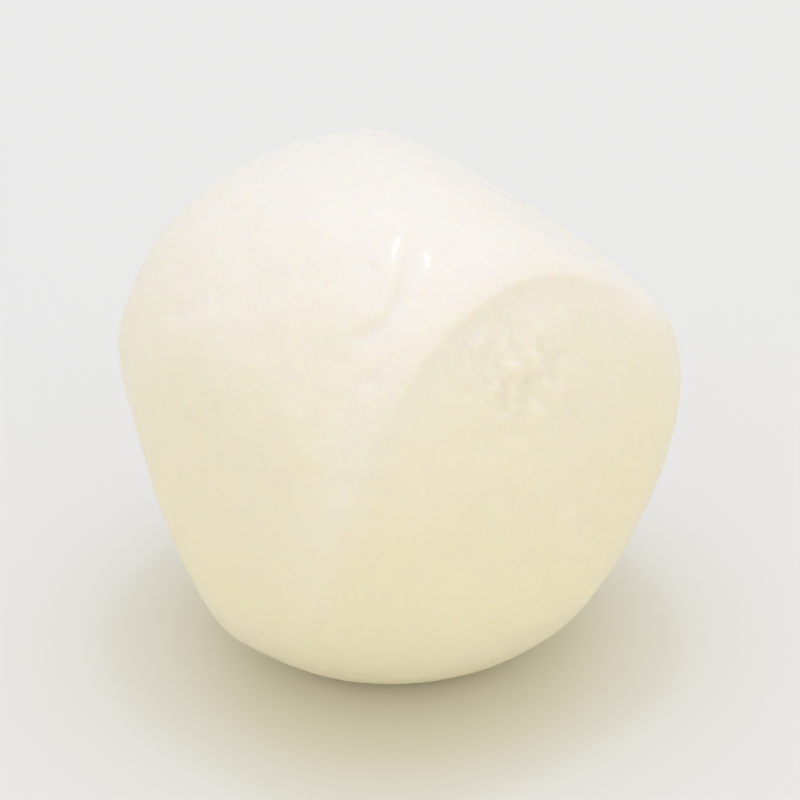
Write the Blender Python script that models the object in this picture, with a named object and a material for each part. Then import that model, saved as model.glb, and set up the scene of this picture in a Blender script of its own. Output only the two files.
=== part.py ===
"""Mozzarella ball: a cherry-size ball of fresh cheese, one soft lump with a lapped fold.

Metres, +Z up. The ball rests by its own weight on a small flat spot in the plane z = 0, with the
origin under the middle of its box and the front, where the fold runs down, towards -Y.

A direction from the ball's middle is written as (turn, rise) in degrees: turn goes round from
the front towards +X, and rise goes up from level. The surface is one distance for each
direction, so the whole form is a sum of plain features: a round body, swellings, flats where
neighbours pressed on it, three laps and a slow unevenness.
"""

import math
from collections import namedtuple

import bmesh
import bpy
import numpy as np
from mathutils import Vector, noise

MM = 0.001

# The round body
RADIUS = 14.0 * MM
HALF_AXES = (1.0, 0.985, 0.97)  # shares of RADIUS along X, Y and Z
DIVISIONS = 26  # squares along each edge of the cube that the ball's mesh is blown up from

# The flat spot that the ball rests on
REST_HEIGHT = 12.75 * MM  # from the spot up to the ball's middle
REST_ROUNDING = 0.5 * MM

# Flats: (turn, rise, distance from the middle, blend), both as shares of RADIUS. A small blend
# leaves a clear edge round the flat, and a large one none.
FLATS = (
    (126, 48, 0.83, 0.12),  # right of the top
    (-79, -17, 0.925, 0.12),  # low on the left
    (-46, 6, 0.92, 0.08),  # lower left of the front
    (40, 15, 0.93, 0.30),  # the tucked lobe's face, under the fold
    (80, -24, 0.93, 0.12),  # low on the right
    (168, -14, 0.93, 0.12),  # behind
    (-142, -22, 0.95, 0.12),  # behind, low on the left
)
LEAST_FACING = 0.2  # cosine at which a flat's plane is already far outside the ball

# Swellings: (turn, rise, height as a share of RADIUS, angular half width in degrees)
SWELLINGS = (
    (-112, 34, 0.06, 40),  # left shoulder
    (-52, -38, 0.03, 26),  # low on the left front
)

# A lap is a line where one part of the skin folds over another. Its stops are (turn, rise,
# strength), the part on the right of the line lies on top, and every height is for strength 1.
Lap = namedtuple("Lap", "stops crest trough crest_reach trough_reach edge drop")
FOLD = Lap(
    stops=(
        (122, 0, 0.0),
        (97, 13, 0.25),
        (80, 37, 0.75),
        (46, 53, 1.0),
        (13.5, 47, 1.0),
        (-2, 32.5, 1.0),
        (-12.5, 11, 0.75),
        (-19, -14, 0.35),
        (-25, -38, 0.0),
    ),
    crest=0.42 * MM,  # how far the upper part stands proud at its edge
    trough=0.13 * MM,  # how deep the lower part lies beside it
    crest_reach=3.2 * MM,
    trough_reach=1.8 * MM,
    edge=0.14 * MM,  # how rounded the upper part's edge is
    drop=0.80 * MM,  # how far the steep fall from the edge runs before it flattens out
)
COMMA = Lap(
    stops=(
        (3, 68, 0.0),
        (0, 63.5, 0.8),
        (-3.2, 58, 1.0),
        (-5, 53.5, 1.0),
        (-10.5, 49, 0.9),
        (-19, 47, 0.5),
        (-29, 44, 0.0),
    ),
    crest=0.06 * MM,
    trough=0.15 * MM,
    crest_reach=1.5 * MM,
    trough_reach=0.9 * MM,
    edge=0.14 * MM,
    drop=0.30 * MM,
)
BACK_CREASE = Lap(
    stops=((-160, 58, 0.0), (-170, 46, 0.7), (178, 34, 1.0), (168, 20, 0.7), (163, 4, 0.0)),
    crest=0.07 * MM,
    trough=0.14 * MM,
    crest_reach=1.6 * MM,
    trough_reach=0.9 * MM,
    edge=0.14 * MM,
    drop=0.30 * MM,
)
LAPS = (FOLD, COMMA, BACK_CREASE)
WEAK_EDGE = 2.0  # how much rounder and longer the fall is at strength 0 than at strength 1
LINE_STEPS = 12  # straight steps between two stops of a line on the ball
HALF_STEP = 0.5

# Mesh lines drawn towards the fold, so that its edge is finely divided
GATHER = 0.66
GATHER_REACH = 2.4 * MM
GATHERED = 0.3  # the mesh is less gathered where the fold is weaker than this

# Slow unevenness of the whole surface
UNEVENNESS = 0.16 * MM
UNEVENNESS_FREQUENCY = 2.3  # swells in one RADIUS

CHEESE_COLOUR = (0.93, 0.88, 0.74, 1.0)
CHEESE_ROUGHNESS = 0.35


def toward(turn, rise):
    """Unit vector for a direction given as (turn, rise) in degrees."""
    turn = math.radians(turn)
    rise = math.radians(rise)
    level = math.cos(rise)
    return np.array((level * math.sin(turn), -level * math.cos(turn), math.sin(rise)))


def smooth_step(share):
    """Goes from 0 to 1 with no corner at either end."""
    share = np.clip(share, 0.0, 1.0)
    return share * share * (3.0 - 2.0 * share)


def lower_blended(first, second, width):
    """The lower of two heights, rounded off where they come within width of each other."""
    nearness = np.clip(1.0 - np.abs(first - second) / width, 0.0, 1.0)
    return np.minimum(first, second) - nearness * nearness * width / 4.0


def unit(vectors):
    return vectors / np.linalg.norm(vectors, axis=-1, keepdims=True)


def line_on_ball(stops):
    """A smooth line through the stops, as points on the unit sphere and the strength at each."""
    places = [np.append(toward(turn, rise), strength) for turn, rise, strength in stops]
    places = [2 * places[0] - places[1], *places, 2 * places[-1] - places[-2]]
    line = []
    for before, start, end, after in zip(places, places[1:], places[2:], places[3:]):
        for t in np.arange(LINE_STEPS) / LINE_STEPS:
            bend = 2 * before - 5 * start + 4 * end - after
            twist = 3 * (start - end) + after - before
            line.append(start + (t * (end - before) + t**2 * bend + t**3 * twist) / 2)
    line.append(places[-2])
    line = np.array(line)
    return unit(line[:, :3]), np.maximum(line[:, 3], 0.0)


def beside(line, directions):
    """For each direction: the nearest point of the line, the distance from it in metres, above
    zero on the right of the way that the line runs, and the line's strength there."""
    points, strengths = line
    nearest = np.argmax(directions @ points.T, axis=1)
    travel = np.gradient(points, axis=0)[nearest]
    ahead = np.sum((directions - points[nearest]) * travel, axis=1) / np.sum(travel**2, axis=1)
    ahead = np.clip(ahead, -HALF_STEP, HALF_STEP)
    point = unit(points[nearest] + ahead[:, None] * travel)
    strength = np.interp(nearest + ahead, np.arange(len(points)), strengths)
    side = np.sign(np.sum(np.cross(travel, point) * directions, axis=1))
    cosine = np.clip(np.sum(point * directions, axis=1), -1.0, 1.0)
    return point, side * np.arccos(cosine) * RADIUS, strength


def gather(directions, line):
    """Draws the directions towards the line, closest where it is strongest."""
    point, distance, strength = beside(line, directions)
    pull = GATHER * smooth_step(strength / GATHERED) * np.exp(-((distance / GATHER_REACH) ** 2))
    return unit(directions + pull[:, None] * (point - directions))


def lap_height(lap, directions):
    """The crest on a lap's upper part, and the fall from its edge to the trough on the lower."""
    _, distance, strength = beside(line_on_ball(lap.stops), directions)
    softer = 1.0 + WEAK_EDGE * (1.0 - strength)

    # The way down from the edge: none on the upper part, and the whole distance on the lower.
    edge = lap.edge * softer
    down = edge * np.logaddexp(0.0, -distance / edge)
    fallen = 1.0 - np.exp(-down / (lap.drop * softer))
    crest = lap.crest * np.exp(-((np.maximum(distance, 0.0) / lap.crest_reach) ** 2))
    trough = lap.trough * np.exp(-((distance / lap.trough_reach) ** 2))
    return strength * (crest - fallen * (lap.crest + trough))


def body_radius(directions):
    """The round body with its swellings and flats."""
    radius = RADIUS / np.linalg.norm(directions / np.array(HALF_AXES), axis=1)
    for turn, rise, height, half_width in SWELLINGS:
        angle = np.degrees(np.arccos(np.clip(directions @ toward(turn, rise), -1.0, 1.0)))
        radius += RADIUS * height * np.exp(-((angle / half_width) ** 2))
    for turn, rise, share, blended in FLATS:
        facing = directions @ toward(turn, rise)
        flat = RADIUS * share / np.maximum(facing, LEAST_FACING)
        radius = lower_blended(radius, flat, RADIUS * blended)
    return radius


def unevenness(directions):
    swells = [noise.noise(Vector(d) * UNEVENNESS_FREQUENCY) for d in directions]
    return UNEVENNESS * np.array(swells)


def settle(points):
    """Presses the lowest points onto the resting plane and rounds the rim of the flat spot."""
    height = np.maximum(points[:, 2] + REST_HEIGHT, 0.0)
    points[:, 2] = height * (1.0 - np.exp(-height / REST_ROUNDING))
    return points


def stand_at_origin(points):
    """Moves the ball sideways until the middle of its box is over the origin."""
    middle = (points.min(axis=0) + points.max(axis=0)) / 2
    middle[2] = 0.0
    return points - middle


def form(directions):
    """The points of the ball's surface for directions spread evenly over a sphere."""
    directions = gather(directions, line_on_ball(FOLD.stops))
    radius = body_radius(directions)
    radius += sum(lap_height(lap, directions) for lap in LAPS)
    radius += unevenness(directions)
    return stand_at_origin(settle(directions * radius[:, None]))


def blown_cube(divisions):
    """A cube of equal squares with every vertex moved out to the unit sphere."""
    shape = bmesh.new()
    bmesh.ops.create_cube(shape, size=2.0)
    bmesh.ops.subdivide_edges(
        shape, edges=shape.edges[:], cuts=divisions - 1, use_grid_fill=True
    )
    for vertex in shape.verts:
        # Equal angles, not equal lengths, keep the squares near the cube's corners from crowding.
        spread = [math.tan(place * math.pi / 4) for place in vertex.co]
        vertex.co = Vector(spread).normalized()
    return shape


def cheese():
    material = bpy.data.materials.new("mozzarella")
    material.use_nodes = True
    shader = material.node_tree.nodes["Principled BSDF"]
    shader.inputs["Base Color"].default_value = CHEESE_COLOUR
    shader.inputs["Roughness"].default_value = CHEESE_ROUGHNESS
    shader.inputs["Metallic"].default_value = 0.0
    return material


def mozzarella_ball():
    shape = blown_cube(DIVISIONS)
    directions = np.array([vertex.co for vertex in shape.verts])
    for vertex, point in zip(shape.verts, form(directions)):
        vertex.co = point
    bmesh.ops.recalc_face_normals(shape, faces=shape.faces[:])
    mesh = bpy.data.meshes.new("mozzarella_ball")
    shape.to_mesh(mesh)
    shape.free()
    mesh.shade_smooth()
    mesh.materials.append(cheese())
    ball = bpy.data.objects.new("mozzarella_ball", mesh)
    bpy.context.scene.collection.objects.link(ball)


for old in list(bpy.data.objects):
    bpy.data.objects.remove(old, do_unlink=True)
mozzarella_ball()
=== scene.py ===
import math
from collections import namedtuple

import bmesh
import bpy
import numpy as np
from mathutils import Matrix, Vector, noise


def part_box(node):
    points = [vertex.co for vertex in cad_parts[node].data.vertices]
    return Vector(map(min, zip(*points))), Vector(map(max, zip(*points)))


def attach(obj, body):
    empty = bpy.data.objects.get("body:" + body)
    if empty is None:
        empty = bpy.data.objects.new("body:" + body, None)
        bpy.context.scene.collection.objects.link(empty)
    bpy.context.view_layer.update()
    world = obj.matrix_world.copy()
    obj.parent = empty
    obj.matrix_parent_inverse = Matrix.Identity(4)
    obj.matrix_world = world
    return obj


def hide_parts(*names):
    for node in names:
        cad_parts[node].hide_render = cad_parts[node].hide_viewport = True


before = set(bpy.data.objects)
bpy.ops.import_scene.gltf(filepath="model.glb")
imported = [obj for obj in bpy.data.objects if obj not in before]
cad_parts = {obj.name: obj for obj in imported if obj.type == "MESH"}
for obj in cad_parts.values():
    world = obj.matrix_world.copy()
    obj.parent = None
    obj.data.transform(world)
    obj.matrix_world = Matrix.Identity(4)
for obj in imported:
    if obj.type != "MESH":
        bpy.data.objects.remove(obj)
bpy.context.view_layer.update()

# Looks of the mozzarella ball: a fine skin in place of the plain solid, with the crisp edge of
# its fold, its puckered spots and its ripples, in a moist cream-white cheese material.
#
# A direction from the ball's middle is written as (turn, rise) in degrees: turn goes round from
# the front (-Y) towards +X, and rise goes up from level. All lengths are in metres.

NODE = "mozzarella_ball"
BALL_LOW, BALL_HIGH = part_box(NODE)

MM = 0.001

# The round body
RADIUS = (BALL_HIGH.x - BALL_LOW.x) / 2
HALF_AXES = (1.0, 0.985, 0.97)  # shares of RADIUS along X, Y and Z
DIVISIONS = 127  # squares along each edge of the cube that the skin is blown up from

# The flat spot that the ball rests on
REST_HEIGHT = 12.75 * MM  # from the spot up to the ball's middle
REST_ROUNDING = 0.5 * MM

# Flats: (turn, rise, distance from the middle, blend), both as shares of RADIUS. A small blend
# leaves a clear edge round the flat, and a large one none.
FLATS = (
    (126, 48, 0.83, 0.12),  # right of the top
    (-79, -17, 0.925, 0.12),  # low on the left
    (-46, 6, 0.92, 0.08),  # lower left of the front
    (40, 15, 0.93, 0.30),  # the tucked lobe's face, under the fold
    (80, -24, 0.93, 0.12),  # low on the right
    (168, -14, 0.93, 0.12),  # behind
    (-142, -22, 0.95, 0.12),  # behind, low on the left
)
LEAST_FACING = 0.2  # cosine at which a flat's plane is already far outside the ball

# Swellings: (turn, rise, height as a share of RADIUS, angular half width in degrees)
SWELLINGS = (
    (-112, 34, 0.06, 40),  # left shoulder
    (-52, -38, 0.03, 26),  # low on the left front
)

# A lap is a line where one part of the skin folds over another. Its stops are (turn, rise,
# strength), the part on the right of the line lies on top, and every height is for strength 1.
Lap = namedtuple("Lap", "stops crest trough crest_reach trough_reach edge drop wander")
FOLD = Lap(
    stops=(
        (122, 0, 0.0),
        (97, 13, 0.25),
        (80, 37, 0.75),
        (46, 53, 1.0),
        (13.5, 47, 1.0),
        (-2, 32.5, 1.0),
        (-12.5, 11, 0.75),
        (-19, -14, 0.35),
        (-25, -38, 0.0),
    ),
    crest=0.42 * MM,  # how far the upper part stands proud at its edge
    trough=0.13 * MM,  # how deep the lower part lies beside it
    crest_reach=3.2 * MM,
    trough_reach=1.8 * MM,
    edge=0.06 * MM,  # how rounded the upper part's edge is
    drop=0.80 * MM,  # how far the steep fall from the edge runs before it flattens out
    wander=0.12 * MM,  # how far the edge strays from a smooth line
)
COMMA = Lap(
    stops=(
        (3, 68, 0.0),
        (0, 63.5, 0.8),
        (-3.2, 58, 1.0),
        (-5, 53.5, 1.0),
        (-10.5, 49, 0.9),
        (-19, 47, 0.5),
        (-29, 44, 0.0),
    ),
    crest=0.06 * MM,
    trough=0.22 * MM,
    crest_reach=1.5 * MM,
    trough_reach=0.7 * MM,
    edge=0.08 * MM,
    drop=0.22 * MM,
    wander=0.05 * MM,
)
BACK_CREASE = Lap(
    stops=((-160, 58, 0.0), (-170, 46, 0.7), (178, 34, 1.0), (168, 20, 0.7), (163, 4, 0.0)),
    crest=0.07 * MM,
    trough=0.14 * MM,
    crest_reach=1.6 * MM,
    trough_reach=0.9 * MM,
    edge=0.10 * MM,
    drop=0.25 * MM,
    wander=0.10 * MM,
)
WANDER_FREQUENCY = 7.0  # waves of a lap's edge in one RADIUS
WEAK_EDGE = 2.0  # how much rounder and longer the fall is at strength 0 than at strength 1
LINE_STEPS = 40  # straight steps between two stops of a line on the ball
HALF_STEP = 0.5

# Painted highlight: the upper part is painted paler beside the fold, standing in for the sheen
# along its ridge
RIDGE_PAINTED_HIGHLIGHT = 0.6  # share of the way from cream to milk
RIDGE_REACH = 1.9 * MM

# Mesh lines drawn towards the fold, so that its edge is finely divided
GATHER = 0.66
GATHER_REACH = 2.4 * MM
GATHERED = 0.3  # the mesh is less gathered where the fold is weaker than this

# Puckered and dimpled skin: (turn, rise, angular half width in degrees, height, puckers in one
# RADIUS)
PUCKERS = (
    (34, 35, 14, 0.26 * MM, 13.0),
    (33, 35, 13, 0.12 * MM, 27.0),
    (-68, 40, 10, 0.16 * MM, 12.0),
    (148, 20, 12, 0.15 * MM, 12.0),
    (-148, 0, 11, 0.13 * MM, 13.0),
    (-30, 32, 34, 0.12 * MM, 9.0),
    (38, 5, 28, 0.12 * MM, 9.0),
    (172, 22, 34, 0.12 * MM, 9.0),
    (-132, 8, 34, 0.12 * MM, 9.0),
)

# Small bumps and pits: (turn, rise, height, half width)
BUMPS = (
    (24, 44.5, 0.12 * MM, 0.40 * MM),
    (38, 47, 0.08 * MM, 0.30 * MM),
    (30, 49.5, 0.06 * MM, 0.30 * MM),
    (32, 36.5, 0.15 * MM, 0.45 * MM),
    (46.5, 28, 0.16 * MM, 0.45 * MM),
    (27, 39, -0.10 * MM, 0.38 * MM),
    (34.5, 31, -0.13 * MM, 0.42 * MM),
    (47, 22, -0.11 * MM, 0.40 * MM),
    (-8.5, 38.5, -0.10 * MM, 0.40 * MM),
    (-12.5, 62, -0.08 * MM, 0.35 * MM),
)

# Slow unevenness of the whole surface
UNEVENNESS = 0.16 * MM
UNEVENNESS_FREQUENCY = 2.3  # swells in one RADIUS
# Finer ripples of the skin: (height, ripples in one RADIUS)
RIPPLES = ((0.035 * MM, 6.0), (0.018 * MM, 14.0), (0.005 * MM, 38.0))

# Noises in the materials: (features in a metre, finer layers, strength of each finer layer)
Noise = namedtuple("Noise", "scale detail roughness")
MOTTLE_NOISE = Noise(180.0, 4.0, 0.55)
FILM_NOISE = Noise(420.0, 2.0, 0.5)
STRAND_NOISE = Noise(900.0, 3.0, 0.5)
PEEL_NOISE = Noise(2200.0, 2.0, 0.5)
FINE_NOISE = Noise(5200.0, 2.0, 0.5)
FLOOR_NOISE = Noise(18.0, 3.0, 0.5)

# The cheese's colour: cream low down as painted warm shade, milk-white high up as painted light,
# and a faint mottle over both
CREAM = (0.925, 0.855, 0.65, 1.0)
MILK = (0.935, 0.89, 0.824, 1.0)
# Painted shade and light: the colour goes from cream at the first height to milk-white at the
# second, by height alone
CREAM_PAINTED_SHADE_BELOW = 0.3 * BALL_HIGH.z
MILK_PAINTED_LIGHT_ABOVE = 0.9 * BALL_HIGH.z
MOTTLE = 0.1  # share of the way from cream to milk
MOTTLE_RANGE = (0.3, 0.7)  # the part of the noise that the mottle is spread over

# How deep light soaks in: the distance for red, with green's and blue's as shares of it
SOAKED = 0.75
SOAK_SHARES = (1.0, 0.75, 0.42)
SOAK_DEPTH = 0.5 * MM

# The wet film: smoother and thicker where its noise is high
FILM_RANGE = (0.35, 0.65)
SKIN_ROUGHNESS = (0.48, 0.38)
FILM_WEIGHT = (0.22, 0.32)
FILM_ROUGHNESS = 0.10
FILM_IOR = 1.36
CHEESE_IOR = 1.35

# The fine grain: strands along the way that the curd was drawn out, peel, pits and specks
DRAW_ROTATION = (0.0, 0.6, 0.9)
DRAW_SCALE = (1.0, 1.0, 0.16)
STRAND_HEIGHT = 0.045 * MM
PEEL_HEIGHT = 0.055 * MM
PIT_CELLS = 420.0  # cells in a metre, with one pit in the middle of each
PIT_WIDTH = 0.10  # half width as a share of a cell
PIT_DEPTH = 0.020 * MM
FINE_HEIGHT = 0.014 * MM

FLOOR_COLOURS = ((0.815, 0.82, 0.80, 1.0), (0.835, 0.84, 0.82, 1.0))
FLOOR_ROUGHNESS = 0.7
FLOOR_HALF_SIZE = 1.5

# The camera and the lights all aim at the middle of the ball.
AIM = (BALL_LOW + BALL_HIGH) / 2
CAMERA_RISE = 33
CAMERA_AWAY = 0.45
CLIP_START = 0.01
FRAME_WIDTH = 40 * MM  # what the picture spans at the ball's distance

# Lights: (name, turn, rise, distance, width, depth, watts, colour)
LIGHTS = (
    ("softbox_above", 178, 78, 0.40, 0.40, 0.36, 0.66, (0.44, 0.54, 1.0)),
    ("small_box_above", 173, 78, 0.40, 0.022, 0.030, 0.08, (0.65, 0.68, 1.0)),
    ("fill_left", -32, 4, 0.45, 0.40, 0.40, 0.18, (1.0, 0.87, 0.70)),
    ("fill_right", 38, 4, 0.45, 0.40, 0.40, 0.20, (1.0, 0.84, 0.40)),
)
AMBIENT = 0.817
AMBIENT_COLOUR = (1.0, 0.95, 0.79, 1.0)


def toward(turn, rise):
    """Unit vector for a direction given as (turn, rise) in degrees."""
    turn = math.radians(turn)
    rise = math.radians(rise)
    level = math.cos(rise)
    return np.array((level * math.sin(turn), -level * math.cos(turn), math.sin(rise)))


def angle_from(turn, rise, directions):
    """The angle in radians between (turn, rise) and each direction."""
    return np.arccos(np.clip(directions @ toward(turn, rise), -1.0, 1.0))


def smooth_step(share):
    """Goes from 0 to 1 with no corner at either end."""
    share = np.clip(share, 0.0, 1.0)
    return share * share * (3.0 - 2.0 * share)


def lower_blended(first, second, width):
    """The lower of two heights, rounded off where they come within width of each other."""
    nearness = np.clip(1.0 - np.abs(first - second) / width, 0.0, 1.0)
    return np.minimum(first, second) - nearness * nearness * width / 4.0


def unit(vectors):
    return vectors / np.linalg.norm(vectors, axis=-1, keepdims=True)


def line_on_ball(stops):
    """A smooth line through the stops, as points on the unit sphere and the strength at each."""
    places = [np.append(toward(turn, rise), strength) for turn, rise, strength in stops]
    places = [2 * places[0] - places[1], *places, 2 * places[-1] - places[-2]]
    line = []
    for before, start, end, after in zip(places, places[1:], places[2:], places[3:]):
        for t in np.arange(LINE_STEPS) / LINE_STEPS:
            bend = 2 * before - 5 * start + 4 * end - after
            twist = 3 * (start - end) + after - before
            line.append(start + (t * (end - before) + t**2 * bend + t**3 * twist) / 2)
    line.append(places[-2])
    line = np.array(line)
    return unit(line[:, :3]), np.maximum(line[:, 3], 0.0)


def beside(line, directions):
    """For each direction: the nearest point of the line, the distance from it in metres, above
    zero on the right of the way that the line runs, and the line's strength there."""
    points, strengths = line
    nearest = np.argmax(directions @ points.T, axis=1)
    travel = np.gradient(points, axis=0)[nearest]
    ahead = np.sum((directions - points[nearest]) * travel, axis=1) / np.sum(travel**2, axis=1)
    ahead = np.clip(ahead, -HALF_STEP, HALF_STEP)
    point = unit(points[nearest] + ahead[:, None] * travel)
    strength = np.interp(nearest + ahead, np.arange(len(points)), strengths)
    side = np.sign(np.sum(np.cross(travel, point) * directions, axis=1))
    cosine = np.clip(np.sum(point * directions, axis=1), -1.0, 1.0)
    return point, side * np.arccos(cosine) * RADIUS, strength


def swells(directions, frequency):
    """A smooth random height between -1 and 1, the same each run."""
    return np.array([noise.noise(Vector(d) * frequency) for d in directions])


def gather(directions, line):
    """Draws the directions towards the line, closest where it is strongest."""
    point, distance, strength = beside(line, directions)
    pull = GATHER * smooth_step(strength / GATHERED) * np.exp(-((distance / GATHER_REACH) ** 2))
    return unit(directions + pull[:, None] * (point - directions))


def lap_form(lap, directions):
    """What a lap does to the skin: the height it adds, and how much paler the skin is painted
    there, a painted highlight along the ridge.
    """
    point, distance, strength = beside(line_on_ball(lap.stops), directions)
    distance = distance + lap.wander * swells(point, WANDER_FREQUENCY)
    softer = 1.0 + WEAK_EDGE * (1.0 - strength)

    # The way down from the edge: none on the upper part, and the whole distance on the lower.
    edge = lap.edge * softer
    down = edge * np.logaddexp(0.0, -distance / edge)
    fallen = 1.0 - np.exp(-down / (lap.drop * softer))
    crest = lap.crest * np.exp(-((np.maximum(distance, 0.0) / lap.crest_reach) ** 2))
    trough = lap.trough * np.exp(-((distance / lap.trough_reach) ** 2))
    height = strength * (crest - fallen * (lap.crest + trough))

    # Painted highlight: the skin just beside the upper part's edge is painted paler, standing in
    # for the ridge's sheen
    painted_ridge_highlight = RIDGE_PAINTED_HIGHLIGHT * strength * (1.0 - fallen) * np.exp(-((distance / RIDGE_REACH) ** 2))
    return height, painted_ridge_highlight


def body_radius(directions):
    """The round body with its swellings and flats."""
    radius = RADIUS / np.linalg.norm(directions / np.array(HALF_AXES), axis=1)
    for turn, rise, height, half_width in SWELLINGS:
        angle = np.degrees(angle_from(turn, rise, directions))
        radius += RADIUS * height * np.exp(-((angle / half_width) ** 2))
    for turn, rise, share, blended in FLATS:
        facing = directions @ toward(turn, rise)
        flat = RADIUS * share / np.maximum(facing, LEAST_FACING)
        radius = lower_blended(radius, flat, RADIUS * blended)
    return radius


def small_bumps(directions):
    height = np.zeros(len(directions))
    for turn, rise, tall, half_width in BUMPS:
        away = RADIUS * angle_from(turn, rise, directions)
        height += tall * np.exp(-((away / half_width) ** 2))
    return height


def puckers(directions):
    height = np.zeros(len(directions))
    for turn, rise, half_width, tall, frequency in PUCKERS:
        angle = np.degrees(angle_from(turn, rise, directions))
        height += tall * np.exp(-((angle / half_width) ** 4)) * swells(directions, frequency)
    return height


def settle(points):
    """Presses the lowest points onto the resting plane and rounds the rim of the flat spot."""
    height = np.maximum(points[:, 2] + REST_HEIGHT, 0.0)
    points[:, 2] = height * (1.0 - np.exp(-height / REST_ROUNDING))
    return points


def stand_on_frame(points):
    """Moves the ball sideways until its box has the same middle as the CAD solid's."""
    shift = (points.min(axis=0) + points.max(axis=0)) / 2 - np.array((BALL_LOW + BALL_HIGH) / 2)
    shift[2] = 0.0
    return points - shift


def skin_form(directions):
    """The skin's points, and how much paler each is painted, a painted highlight along the fold's
    ridge.
    """
    directions = gather(directions, line_on_ball(FOLD.stops))
    radius = body_radius(directions)
    radius += small_bumps(directions) + puckers(directions)
    radius += UNEVENNESS * swells(directions, UNEVENNESS_FREQUENCY)
    for height, frequency in RIPPLES:
        radius += height * swells(directions, frequency)

    fold, painted_ridge_highlight = lap_form(FOLD, directions)
    comma, _ = lap_form(COMMA, directions)
    crease, _ = lap_form(BACK_CREASE, directions)
    radius += fold + comma + crease
    return stand_on_frame(settle(directions * radius[:, None])), painted_ridge_highlight


def blown_cube(divisions):
    """A cube of equal squares with every vertex moved out to the unit sphere."""
    shape = bmesh.new()
    bmesh.ops.create_cube(shape, size=2.0)
    bmesh.ops.subdivide_edges(
        shape, edges=shape.edges[:], cuts=divisions - 1, use_grid_fill=True
    )
    for vertex in shape.verts:
        # Equal angles, not equal lengths, keep the squares near the cube's corners from crowding.
        spread = [math.tan(place * math.pi / 4) for place in vertex.co]
        vertex.co = Vector(spread).normalized()
    return shape


def skin():
    shape = blown_cube(DIVISIONS)
    directions = np.array([vertex.co for vertex in shape.verts])
    points, painted_ridge_highlight = skin_form(directions)
    for vertex, point in zip(shape.verts, points):
        vertex.co = point
    bmesh.ops.recalc_face_normals(shape, faces=shape.faces[:])
    mesh = bpy.data.meshes.new("mozzarella_skin")
    shape.to_mesh(mesh)
    shape.free()
    mesh.shade_smooth()
    # The painted highlight along the fold's ridge, kept on the mesh for the material
    mesh.attributes.new("painted_ridge_highlight", "FLOAT", "POINT").data.foreach_set("value", painted_ridge_highlight)
    piece = bpy.data.objects.new("mozzarella_skin", mesh)
    bpy.context.scene.collection.objects.link(piece)
    return piece


# ---------------------------------------------------------------- materials


def attribute(tree, name):
    node = tree.nodes.new("ShaderNodeAttribute")
    node.attribute_name = name
    return node.outputs["Fac"]


def noise_node(tree, place, kind):
    node = tree.nodes.new("ShaderNodeTexNoise")
    tree.links.new(place, node.inputs["Vector"])
    node.inputs["Scale"].default_value = kind.scale
    node.inputs["Detail"].default_value = kind.detail
    node.inputs["Roughness"].default_value = kind.roughness
    return node.outputs["Fac"]


def stretched(tree, place):
    """The place squeezed along the way the cheese was drawn out, so a noise turns to strands."""
    node = tree.nodes.new("ShaderNodeMapping")
    tree.links.new(place, node.inputs["Vector"])
    node.inputs["Rotation"].default_value = DRAW_ROTATION
    node.inputs["Scale"].default_value = DRAW_SCALE
    return node.outputs["Vector"]


def cell_distance(tree, place, scale):
    """The distance from the middle of the nearest of many scattered cells, in cells."""
    node = tree.nodes.new("ShaderNodeTexVoronoi")
    tree.links.new(place, node.inputs["Vector"])
    node.inputs["Scale"].default_value = scale
    return node.outputs["Distance"]


def ranged(tree, value, between, onto):
    """The value, moved from the one range onto the other and clamped."""
    node = tree.nodes.new("ShaderNodeMapRange")
    tree.links.new(value, node.inputs["Value"])
    node.inputs["From Min"].default_value, node.inputs["From Max"].default_value = between
    node.inputs["To Min"].default_value, node.inputs["To Max"].default_value = onto
    return node.outputs["Result"]


def add(tree, first, second):
    node = tree.nodes.new("ShaderNodeMath")
    node.operation = "ADD"
    tree.links.new(first, node.inputs[0])
    tree.links.new(second, node.inputs[1])
    return node.outputs["Value"]


def blend(tree, share, first, second):
    """The colour that lies the given share of the way from the first to the second."""
    node = tree.nodes.new("ShaderNodeMix")
    node.data_type = "RGBA"
    tree.links.new(share, node.inputs["Factor"])
    node.inputs["A"].default_value = first
    node.inputs["B"].default_value = second
    return node.outputs["Result"]


def bump(tree, height, distance, below=None):
    node = tree.nodes.new("ShaderNodeBump")
    node.inputs["Distance"].default_value = distance
    tree.links.new(height, node.inputs["Height"])
    if below is not None:
        tree.links.new(below, node.inputs["Normal"])
    return node.outputs["Normal"]


def cheese_colour_and_painted_light(tree, place):
    """Milk-white high up as painted light and along the fold's ridge as a painted highlight,
    cream low down as painted warm shade, faintly mottled.
    """
    split = tree.nodes.new("ShaderNodeSeparateXYZ")
    tree.links.new(place, split.inputs["Vector"])
    # Painted shade and light: creamier low down, paler high up
    height = ranged(tree, split.outputs["Z"], (CREAM_PAINTED_SHADE_BELOW, MILK_PAINTED_LIGHT_ABOVE), (0.0, 1.0))
    mottle = noise_node(tree, place, MOTTLE_NOISE)
    mottle_and_painted_light = add(tree, height, ranged(tree, mottle, MOTTLE_RANGE, (-MOTTLE, MOTTLE)))
    # Painted highlight along the fold's ridge
    mottle_and_painted_light = add(tree, mottle_and_painted_light, attribute(tree, "painted_ridge_highlight"))
    return blend(tree, mottle_and_painted_light, CREAM, MILK)


def cheese_grain(tree, place):
    """The normal, roughened by peel, strands, pits and specks, each laid over the last."""
    peel = bump(tree, noise_node(tree, place, PEEL_NOISE), PEEL_HEIGHT)
    strands = noise_node(tree, stretched(tree, place), STRAND_NOISE)
    drawn = bump(tree, strands, STRAND_HEIGHT, peel)
    pits = ranged(tree, cell_distance(tree, place, PIT_CELLS), (0.0, PIT_WIDTH), (-1.0, 0.0))
    pitted = bump(tree, pits, PIT_DEPTH, drawn)
    return bump(tree, noise_node(tree, place, FINE_NOISE), FINE_HEIGHT, pitted)


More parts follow.
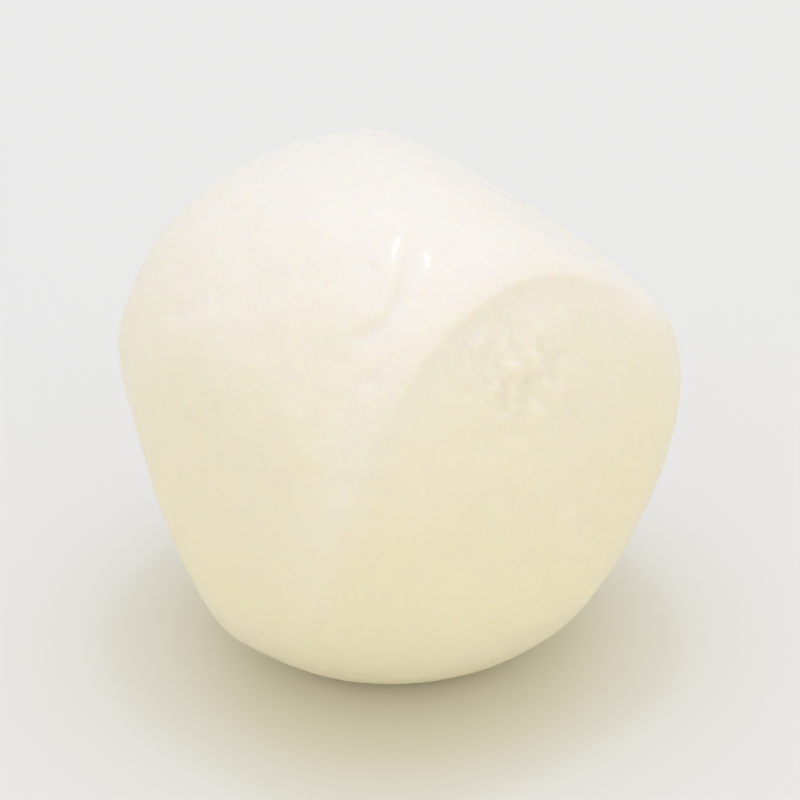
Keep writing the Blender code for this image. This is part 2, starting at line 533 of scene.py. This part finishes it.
def mozzarella():
    """Moist cream-white cheese: light soaks in, and a thin wet film shines."""
    material = bpy.data.materials.new("mozzarella")
    material.use_nodes = True
    tree = material.node_tree
    shader = tree.nodes["Principled BSDF"]
    place = tree.nodes.new("ShaderNodeTexCoord").outputs["Object"]
    tree.links.new(cheese_colour_and_painted_light(tree, place), shader.inputs["Base Color"])
    tree.links.new(cheese_grain(tree, place), shader.inputs["Normal"])

    film = noise_node(tree, place, FILM_NOISE)
    roughness = ranged(tree, film, FILM_RANGE, SKIN_ROUGHNESS)
    tree.links.new(roughness, shader.inputs["Roughness"])
    tree.links.new(ranged(tree, film, FILM_RANGE, FILM_WEIGHT), shader.inputs["Coat Weight"])
    shader.inputs["Coat Roughness"].default_value = FILM_ROUGHNESS
    shader.inputs["Coat IOR"].default_value = FILM_IOR
    shader.inputs["IOR"].default_value = CHEESE_IOR

    shader.inputs["Subsurface Weight"].default_value = SOAKED
    shader.inputs["Subsurface Radius"].default_value = SOAK_SHARES
    shader.inputs["Subsurface Scale"].default_value = SOAK_DEPTH
    return material


def tabletop():
    """Plain pale matte board, very slightly uneven in colour."""
    material = bpy.data.materials.new("pale_floor")
    material.use_nodes = True
    tree = material.node_tree
    shader = tree.nodes["Principled BSDF"]
    place = tree.nodes.new("ShaderNodeTexCoord").outputs["Object"]
    colour = blend(tree, noise_node(tree, place, FLOOR_NOISE), *FLOOR_COLOURS)
    tree.links.new(colour, shader.inputs["Base Color"])
    shader.inputs["Roughness"].default_value = FLOOR_ROUGHNESS
    return material


# ---------------------------------------------------------------- stage, lights and camera


def floor():
    mesh = bpy.data.meshes.new("floor")
    shape = bmesh.new()
    bmesh.ops.create_grid(shape, x_segments=1, y_segments=1, size=FLOOR_HALF_SIZE)
    shape.to_mesh(mesh)
    shape.free()
    mesh.materials.append(tabletop())
    piece = bpy.data.objects.new("floor", mesh)
    bpy.context.scene.collection.objects.link(piece)


def place_at(thing, turn, rise, away):
    """Puts a lamp or the camera in a direction from the aim, looking back at it."""
    thing.location = AIM + Vector(toward(turn, rise)) * away
    thing.rotation_euler = (AIM - thing.location).to_track_quat("-Z", "Y").to_euler()
    bpy.context.scene.collection.objects.link(thing)


def area_light(name, turn, rise, away, width, depth, watts, colour):
    light = bpy.data.lights.new(name, "AREA")
    light.shape = "RECTANGLE"
    light.size = width
    light.size_y = depth
    light.energy = watts
    light.color = colour
    place_at(bpy.data.objects.new(name, light), turn, rise, away)


def ambient_light():
    world = bpy.data.worlds.new("studio")
    world.use_nodes = True
    background = world.node_tree.nodes["Background"]
    background.inputs["Color"].default_value = AMBIENT_COLOUR
    background.inputs["Strength"].default_value = AMBIENT
    bpy.context.scene.world = world


def camera():
    data = bpy.data.cameras.new("camera")
    data.lens = data.sensor_width * CAMERA_AWAY / FRAME_WIDTH
    data.clip_start = CLIP_START
    eye = bpy.data.objects.new("camera", data)
    place_at(eye, 0, CAMERA_RISE, CAMERA_AWAY)
    bpy.context.scene.camera = eye


ball = skin()
ball.data.materials.append(mozzarella())
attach(ball, "root")
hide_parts(NODE)

floor()
ambient_light()
for light in LIGHTS:
    area_light(*light)
camera()
bpy.context.scene.view_settings.view_transform = "Standard"
